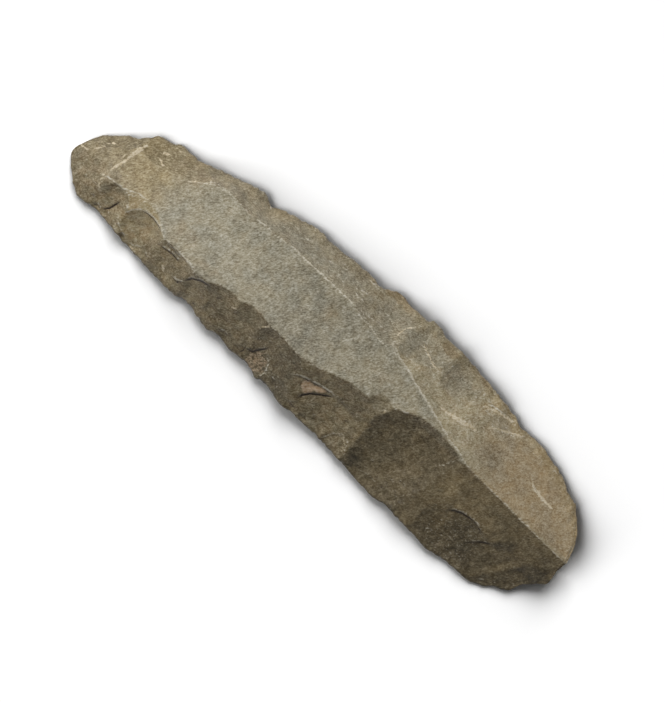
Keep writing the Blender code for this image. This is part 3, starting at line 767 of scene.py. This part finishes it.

# %% [markdown]
# No part of an old stone is of one tone. Soft ovals make it a little lighter or darker from
# place to place; some darker ones are painted shade on walls that turn from the light, as
# on the left wall of the bowl. The thin rim of each edge is darkened as well, a painted
# shade where the stone turns down to the table.

# %% Darker and lighter stains, and painted shade
# centre x, y, reach along and across, turn in degrees, how much lighter or darker
SHADE_AND_STAINS = [
    (-6.0, -2.5, 11.0, 6.0, 0.0, -0.20), (-14.0, 7.5, 6.0, 3.0, 0.0, -0.10),
    (-4.0, 6.0, 9.0, 4.0, 0.0, -0.14), (12.0, 5.0, 5.0, 2.5, 0.0, -0.08),
    (-34.0, 5.0, 8.0, 5.0, 0.0, 0.05), (-48.0, 2.0, 4.0, 6.0, 0.0, 0.06),
    (-66.6, -12.0, 3.4, 2.2, -20.0, -0.22), (-61.2, -8.0, 2.6, 2.4, 0.0, -0.10),
    (-60.4, -13.2, 3.6, 1.2, 0.0, -0.12), (-56.6, -10.4, 1.8, 3.4, 20.0, 0.08),
    (-50.2, -10.0, 3.2, 3.0, 0.0, 0.10), (-52.6, -14.6, 1.4, 0.9, 0.0, -0.30),
    (-41.0, -13.4, 4.0, 2.2, 0.0, 0.10), (-33.6, -8.9, 4.4, 1.4, 0.0, -0.20),
    (-23.4, -12.6, 3.4, 2.6, 0.0, -0.18), (-16.4, -10.6, 2.6, 2.4, 0.0, -0.16),
    (-20.4, -8.4, 1.8, 1.4, 0.0, 0.10), (-8.0, -14.6, 3.0, 3.2, 0.0, 0.06),
    (4.0, -7.2, 5.0, 1.8, 12.0, 0.10), (14.0, -12.0, 5.0, 3.0, 0.0, 0.10),
    (1.0, -16.6, 5.0, 2.0, 0.0, -0.16), (21.4, -16.0, 2.4, 4.4, 0.0, -0.50),
    (20.6, -6.4, 1.4, 3.0, 0.0, -0.25), (25.6, -12.0, 4.0, 5.0, 0.0, -0.10),
    (34.6, -5.4, 3.6, 3.4, 0.0, 0.10), (40.4, -2.4, 2.0, 2.4, 0.0, -0.14),
    (39.8, -14.6, 4.4, 4.4, 0.0, -0.22), (46.4, -11.0, 3.0, 5.0, 0.0, 0.16),
    (55.6, -16.0, 3.6, 3.4, 0.0, -0.24), (63.6, -12.5, 1.6, 6.0, -30.0, 0.20),
    (70.4, -8.0, 3.0, 6.0, -20.0, -0.18), (20.6, 8.8, 3.6, 2.6, 0.0, 0.10),
    (-5.0, 12.8, 2.4, 1.4, 0.0, 0.08), (27.2, 15.6, 2.6, 4.6, 0.0, -0.12),
    (45.4, 5.6, 5.0, 3.4, 0.0, -0.12), (45.0, 11.0, 3.4, 2.0, 20.0, -0.10),
    (55.0, 5.0, 4.0, 2.6, 0.0, -0.08), (37.8, 1.4, 2.0, 1.4, 0.0, 0.08),
    (12.0, 17.6, 6.0, 2.0, 0.0, -0.05), (43.0, -6.0, 2.5, 5.0, 0.0, 0.22),
    (47.0, -12.0, 3.0, 3.0, 0.0, 0.14), (36.5, -17.0, 3.0, 2.0, 0.0, -0.16),
    (67.0, -4.0, 10.0, 6.0, 0.0, -0.30), (24.5, 0.5, 2.4, 1.4, 0.0, 0.16),
    (-49.0, -7.0, 2.4, 1.2, 0.0, 0.12), (-31.0, -7.6, 4.0, 1.2, 0.0, -0.14),
    (-23.5, -13.0, 2.6, 2.0, 0.0, -0.10), (-7.0, -5.5, 5.0, 1.4, 0.0, -0.12),
    (4.0, -10.0, 2.0, 1.2, 20.0, 0.16), (3.5, -6.0, 4.0, 1.2, 10.0, 0.10),
    (43.0, -14.0, 2.4, 3.0, 0.0, 0.14), (32.0, 9.0, 9.0, 8.0, 0.0, 0.12),
    (67.0, 5.0, 10.0, 8.0, 0.0, -0.06), (10.0, -6.4, 8.0, 1.6, 4.0, -0.12),
    (13.0, -10.6, 5.0, 2.6, 0.0, 0.12), (44.2, 6.6, 4.0, 3.0, -20.0, -0.14),
    (46.5, -12.0, 2.5, 3.0, 0.0, 0.25), (39.0, -8.0, 2.2, 2.2, 0.0, 0.20),
    (65.5, -6.0, 3.5, 6.0, -30.0, 0.20), (67.0, -1.2, 5.0, 1.5, 0.0, 0.20),
    (5.0, -6.5, 5.0, 2.0, 8.0, 0.18), (-52.5, -12.0, 2.5, 2.0, 0.0, 0.20),
    (19.2, -7.5, 1.2, 4.5, 0.0, 0.15), (-20.5, -8.0, 1.6, 1.2, 0.0, 0.15),
    (-13.5, -14.5, 0.9, 2.0, 0.0, 0.20), (-12.0, 12.0, 9.0, 1.4, 0.0, 0.08),
    (40.5, 14.5, 2.0, 1.5, 0.0, 0.15), (24.0, 16.5, 1.0, 2.0, 0.0, 0.20),
    (-46.0, -12.6, 1.8, 3.0, 0.0, -0.25), (-11.5, -15.4, 1.6, 1.6, 0.0, -0.15),
    (-2.0, -15.4, 2.6, 2.6, 0.0, -0.16), (60.8, -7.4, 4.6, 0.8, 38.0, -0.35),
    (63.8, -12.0, 7.0, 0.9, 57.0, 0.24), (66.2, -13.0, 6.0, 1.1, 57.0, -0.16),
    (25.6, 14.2, 0.9, 3.2, 0.0, -0.16), (43.6, 6.4, 3.6, 1.6, 35.0, -0.12),
    (57.0, -11.6, 3.4, 1.6, 40.0, -0.16), (-33.0, -9.0, 3.4, 1.2, 0.0, -0.14),
    (35.5, -18.8, 3.2, 1.4, 0.0, -0.30), (22.0, -16.8, 2.6, 2.6, 0.0, -0.18),
    (44.0, -18.2, 1.8, 1.8, 0.0, -0.25), (16.0, 19.2, 2.2, 1.4, 0.0, -0.20),
    (-5.0, 16.6, 3.0, 1.2, 0.0, -0.12), (48.0, 5.0, 8.0, 1.8, 0.0, -0.10),
    (12.0, -8.0, 3.0, 1.4, 0.0, -0.10), (29.0, 17.0, 2.4, 1.6, 0.0, -0.12),
    (34.0, 13.0, 2.0, 2.4, 0.0, -0.10), (16.4, -16.8, 2.4, 2.4, 0.0, -0.20),
    (-36.0, 1.0, 14.0, 9.0, 0.0, 0.07),
]
# the ovals hold the stone's own tone, and painted shade where a wall turns from the light
shade_and_stain = np.ones_like(top_x)
for *oval, change in SHADE_AND_STAINS:
    shade_and_stain += change * patches([(*oval, 1.0)], 0.0, 1.4)
face_tone_and_shade *= shade_and_stain
# painted shade: a thin band along each edge is darkened, where the stone turns down to the table
rims = (np.hypot(top_x - line[:, :1], top_y - line[:, 1:]) for line in (upper_nicked, lower_nicked))
face_tone_and_shade *= 1.0 - 0.25 * np.exp(-(np.minimum(*rims) / 0.45) ** 2)
print("stains:", len(SHADE_AND_STAINS))

# %% Hand the masks to the mesh
# what the underside has: less bloom, one even tone, no marks
UNDER = {"bloom": 0.25, "light": 0.56, "coarse": 1.2}
MASKS = {"bloom": bloom_mask, "olive": olive_mask, "tan": tan_mask, "light": face_tone_and_shade, "wear_and_highlight": wear_and_highlight_mask,
         "streak": streak_mask, "crease_shade": shade_in_creases, "rind": rind_mask, "fresh": fresh_mask, "coarse": coarse_mask,
         "pitted": pitted_mask}
for name, mask in MASKS.items():
    ring = np.full((RIBS, AROUND), UNDER.get(name, 0.0))
    ring[:, :TOP_POINTS] = mask
    ring[:, TOP_POINTS], ring[:, -1] = mask[:, -1], mask[:, 0]
    mesh.attributes.new(name, "FLOAT", "POINT").data.foreach_set("value", ring.ravel().astype(np.float32))
print("masks:", ", ".join(MASKS))

# %% [markdown]
# ## Weathered flint
# Flint is a very fine-grained quartz. Freshly broken it is dark and waxy; in the ground
# its skin takes up water and iron and turns to a matt bloom, grey where it is thickest
# and olive or tan where iron has stained it. Ridges rub pale. The eye sees a speckled,
# dull skin with a faint sheen, so roughness is high and the IOR is that of quartz.

# %% [markdown]
# Two helpers serve every material. One turns a hex colour, as a colour picker shows it,
# into the linear values that a shader works in. The other adds a node with its settings
# and its links in one line, so that a material reads like a recipe.

# %% Helpers for colours and nodes
def linear(hex_code):
    """sRGB hex colour as the linear values that a shader works in."""
    parts = [int(hex_code[i:i + 2], 16) / 255.0 for i in (1, 3, 5)]
    return (*(part / 12.92 if part <= 0.04045 else ((part + 0.055) / 1.055) ** 2.4 for part in parts), 1.0)


def add(tree, kind, settings=None, inputs=None):
    """Add a node with its settings, and with a value or a link for each input."""
    node = tree.nodes.new(kind)
    for name, value in (settings or {}).items():
        setattr(node, name, value)
    for name, value in (inputs or {}).items():
        if isinstance(value, bpy.types.NodeSocket):
            tree.links.new(value, node.inputs[name])
        else:
            node.inputs[name].default_value = value
    return node


# %% Colours of the stone
STONE = "#9b8f71"         # brown flint on the steep lower scars
STONE_RED = "#9e8e6f"     # the same where it is redder
BLOOM = "#97917c"         # grey bloom on the middle facet
OLIVE = "#9e8e68"         # iron-stained skin of the tip
TAN = "#a48b65"           # iron-stained skin of the butt
PALE = "#bab3a0"          # rubbed ridges and pale flecks; on the lips of the steps it is also a painted highlight
RUBBED = "#bcae92"        # cream streaks where the skin is scraped
CREASE_SHADE = "#2a1a0b"         # painted shade in the cracks and at the foot of each step
RIND = "#7a6a4c"          # ochre remnants of the rind
FRESH = "#b09678"         # peach-coloured stone where a chip is younger
GREY, WARM = "#fdfdff", "#fffaf2"    # the two casts that drift over the whole skin
MM_SCALE = 1000.0         # a noise scale of 1000 is one grain a millimetre
GRAIN_TURN = math.radians(50.0)    # the two finest grains lie slantwise across the blade,
GRAIN_STRETCH = 1.9       # and are this much longer than wide
print("colour of the bloom in linear values:", [round(part, 3) for part in linear(BLOOM)[:3]])

# %% The skin of the stone
stone = bpy.data.materials.new("weathered_flint")
stone.use_nodes = True
tree = stone.node_tree
tree.nodes.clear()
place = add(tree, "ShaderNodeTexCoord").outputs["Object"]
brushed = add(tree, "ShaderNodeMapping", {"vector_type": "TEXTURE"}, {
    "Vector": place, "Rotation": (0.0, 0.0, GRAIN_TURN), "Scale": (GRAIN_STRETCH, 1.0, 1.0)}).outputs[0]
mask = {name: add(tree, "ShaderNodeAttribute", {"attribute_name": name}).outputs["Fac"] for name in MASKS}


def clouds(size, detail, shift=0.0, source=place):
    """Noise with grains of a size in mm; shift moves it, so that two don't match."""
    moved = add(tree, "ShaderNodeVectorMath", {"operation": "ADD"}, {0: source, 1: (shift, shift, shift)})
    return add(tree, "ShaderNodeTexNoise", None, {
        "Vector": moved.outputs[0], "Scale": MM_SCALE / size, "Detail": detail,
        "Roughness": 0.6}).outputs["Fac"]


def stretched(source, low_in, high_in, low_out, high_out):
    """A mask taken from one range to another, clamped."""
    return add(tree, "ShaderNodeMapRange", None, {
        "Value": source, "From Min": low_in, "From Max": high_in, "To Min": low_out,
        "To Max": high_out}).outputs["Result"]


def times(first, second):
    """Two masks multiplied."""
    return add(tree, "ShaderNodeMath", {"operation": "MULTIPLY"}, {0: first, 1: second}).outputs[0]


def layer(below, colour, amount):
    """Lay a colour over what is below it, as strongly as amount says."""
    node = add(tree, "ShaderNodeMix", {"data_type": "RGBA"}, {0: amount, 7: linear(colour)})
    if isinstance(below, str):
        node.inputs[6].default_value = linear(below)
    else:
        tree.links.new(below, node.inputs[6])
    return node.outputs[2]


def shade(colour, factor):
    """Multiply a colour by a grey value."""
    return add(tree, "ShaderNodeVectorMath", {"operation": "SCALE"}, {0: colour, "Scale": factor}).outputs[0]


# %% [markdown]
# The colours go on like washes of paint: first the hue of each part of the skin, then how
# light each scar is, with the painted shade of some darker ovals and of the edge rims, then
# fresh chips, rind, rubbed ridges and step lips (these partly a painted highlight) and
# streaks, and last the painted shade in the cracks and at the foot of each step. The grain
# could multiply the colour, but then the stone looks sprinkled with salt. Raising the colour
# to a power near 1 darkens and deepens it together, as damp and dry grains of one stone do.
# The finest real grains are too small to show, so the grain is drawn a quarter of a
# millimetre across.

# %% Layers of colour
drift, mottle, mottle_2 = clouds(5.0, 1.0), clouds(1.7, 1.5), clouds(2.2, 1.0, 0.3)
speck, grain, fleck = clouds(0.45, 1.0, 0.0, brushed), clouds(0.24, 1.0, 0.0, brushed), clouds(0.4, 0.0, 0.7)


def broken(name, start, end):
    """A mask whose soft edge the specks break up: nothing at start, whole at end."""
    inputs = {0: mask[name], 1: stretched(speck, 0.3, 0.7, -0.2, 0.2)}
    uneven = add(tree, "ShaderNodeMath", {"operation": "ADD"}, inputs).outputs[0]
    return stretched(uneven, start, end, 0.0, 1.0)


skin = layer(STONE, STONE_RED, stretched(mottle_2, 0.42, 0.6, 0.0, 1.0))
skin = layer(skin, TAN, mask["tan"])
skin = layer(skin, OLIVE, mask["olive"])
skin = layer(skin, BLOOM, times(mask["bloom"], stretched(mottle, 0.35, 0.55, 0.8, 1.0)))
# lightness of each scar, with the painted shade of some darker ovals and of the edge rims
skin = shade(skin, mask["light"])
cast = layer(GREY, WARM, stretched(drift, 0.36, 0.62, 0.0, 1.0))
skin = add(tree, "ShaderNodeVectorMath", {"operation": "MULTIPLY"}, {0: skin, 1: cast}).outputs[0]
skin = layer(skin, FRESH, times(broken("fresh", 0.2, 0.7), 0.85))
skin = layer(skin, RIND, times(broken("rind", 0.25, 0.7), 0.8))
# rubbed ridges, and the lips of the steps as a painted highlight too
skin = layer(skin, PALE, times(broken("wear_and_highlight", 0.2, 0.65), 0.85))
skin = layer(skin, RUBBED, times(broken("streak", 0.2, 0.6), 0.95))
skin = layer(skin, PALE, times(mask["pitted"], stretched(fleck, 0.63, 0.76, 0.0, 0.22)))
for source, strength in ((drift, 0.08), (mottle, 0.12), (speck, 0.20), (grain, 0.22)):
    change = times(stretched(source, 0.3, 0.7, strength, -strength), mask["coarse"])
    power = add(tree, "ShaderNodeMath", {"operation": "ADD"}, {0: change, 1: 1.0}).outputs[0]
    skin = add(tree, "ShaderNodeGamma", None, {"Color": skin, "Gamma": power}).outputs[0]
# painted shade in the cracks and at the foot of each step
skin = layer(skin, CREASE_SHADE, times(broken("crease_shade", 0.25, 0.6), 0.95))

# %% [markdown]
# Under a low light the skin still looks rough between the points of the mesh. Two bumps
# give that: one for the specks and a finer one for the grain. The roughness changes with
# the mottling, so that some patches are a little glossier than others.

# %% Surface
DIMPLE_DEPTH, GRAIN_DEPTH = 0.00007, 0.00005    # in metres
dimples = add(tree, "ShaderNodeBump", None, {"Strength": 1.0, "Distance": DIMPLE_DEPTH, "Height": speck})
fine = add(tree, "ShaderNodeBump", None, {"Strength": 1.0, "Distance": GRAIN_DEPTH, "Height": grain,
                                          "Normal": dimples.outputs[0]})
surface = add(tree, "ShaderNodeBsdfPrincipled", None, {
    "Base Color": skin, "Roughness": stretched(mottle, 0.3, 0.7, 0.54, 0.70), "IOR": 1.54,
    "Normal": fine.outputs[0]})
add(tree, "ShaderNodeOutputMaterial", None, {"Surface": surface.outputs[0]})
mesh.materials.append(stone)
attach(blade, "root")
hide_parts("flint_blade")
print("nodes in the material:", len(tree.nodes))

# %% [markdown]
# ## Table, lights and camera
# The blade lies on a plain white table and is seen from straight above, lying slantwise.
# One soft box, high over the tip, lights only the stone and models its scars. The table
# is made of two halves that meet under the blade, and each half is lit only by the strip
# across the stone from it, and both by a weak light beyond the tip. So the stone throws a
# soft shadow to both sides and past the butt, grey where it touches the table and gone a
# few millimetres out. A pale room fills in what the lights leave dark.

# %% Table
SEAM = -3.0              # the halves meet on this line along the blade, in mm
TABLE = 3.0              # side of each half, in metres
# matt white card: it scatters light evenly, so it shows a shadow and no gloss
paper = bpy.data.materials.new("white_card")
paper.use_nodes = True
paper.node_tree.nodes["Principled BSDF"].inputs["Base Color"].default_value = linear("#ededed")
paper.node_tree.nodes["Principled BSDF"].inputs["Roughness"].default_value = 0.9


def half_table(name, side):
    """One half of the table, on one side of the seam."""
    bpy.ops.mesh.primitive_plane_add(size=TABLE, location=(0.0, SEAM * MM + side * TABLE / 2.0, 0.0))
    half = bpy.context.object
    half.name = name
    half.data.materials.append(paper)
    return half


upper_half, lower_half = half_table("table_upper", 1.0), half_table("table_lower", -1.0)
print("table halves:", upper_half.name, lower_half.name)

# %% Lights
def soft_light(name, direction, distance, size, energy, *lit):
    """Soft light (width, height) that faces the blade from a direction and lights only what is named."""
    lamp = bpy.data.lights.new(name, "AREA")
    lamp.shape = "RECTANGLE"
    lamp.size, lamp.size_y = size
    lamp.energy = energy
    stand = bpy.data.objects.new(name, lamp)
    towards = Vector(direction).normalized()
    stand.location = towards * distance
    stand.rotation_euler = towards.to_track_quat("Z", "Y").to_euler()
    bpy.context.scene.collection.objects.link(stand)
    chosen = bpy.data.collections.new("lit_by_" + name)
    for thing in lit:
        chosen.objects.link(thing)
    stand.light_linking.receiver_collection = chosen
    return stand


soft_light("soft_box", (-0.60, 0.27, 0.75), 0.9, (0.5, 0.5), 8.8, blade)
soft_light("strip_below", (-0.34, -0.62, 0.70), 1.2, (0.75, 1.40), 25.0, upper_half)
soft_light("strip_above", (-0.34, 0.67, 0.65), 1.2, (0.75, 1.30), 27.5, lower_half)
soft_light("end_light", (-0.70, 0.0, 0.71), 1.2, (1.2, 0.7), 6.3, upper_half, lower_half)
room = bpy.data.worlds.new("pale_room")
bpy.context.scene.world = room
room.use_nodes = True
room.node_tree.nodes["Background"].inputs["Color"].default_value = (1.0, 1.0, 1.0, 1.0)
room.node_tree.nodes["Background"].inputs["Strength"].default_value = 0.10
print("lights:", len(bpy.data.lights))

# %% Camera
VIEW_TURN = math.radians(42.5)
FRAME_HEIGHT = 162.9     # what the view takes in from top to bottom, in mm,
MEASURED_AT = 3.0        # measured this far above the table
VIEW_CENTRE = (1.5, -0.99)    # the point of the blade in the middle of the view, in mm
LENS, SENSOR = 200.0, 36.0    # a long lens, so that the stone shows little perspective
camera_data = bpy.data.cameras.new("camera")
camera_data.lens = LENS
camera_data.sensor_width = SENSOR
camera = bpy.data.objects.new("camera", camera_data)
camera_height = FRAME_HEIGHT * LENS / SENSOR + MEASURED_AT
camera.location = (VIEW_CENTRE[0] * MM, VIEW_CENTRE[1] * MM, camera_height * MM)
camera.rotation_euler = (0.0, 0.0, VIEW_TURN)
bpy.context.scene.collection.objects.link(camera)
bpy.context.scene.camera = camera
bpy.context.scene.view_settings.view_transform = "Standard"
print("camera height in mm:", round(camera_height, 1))
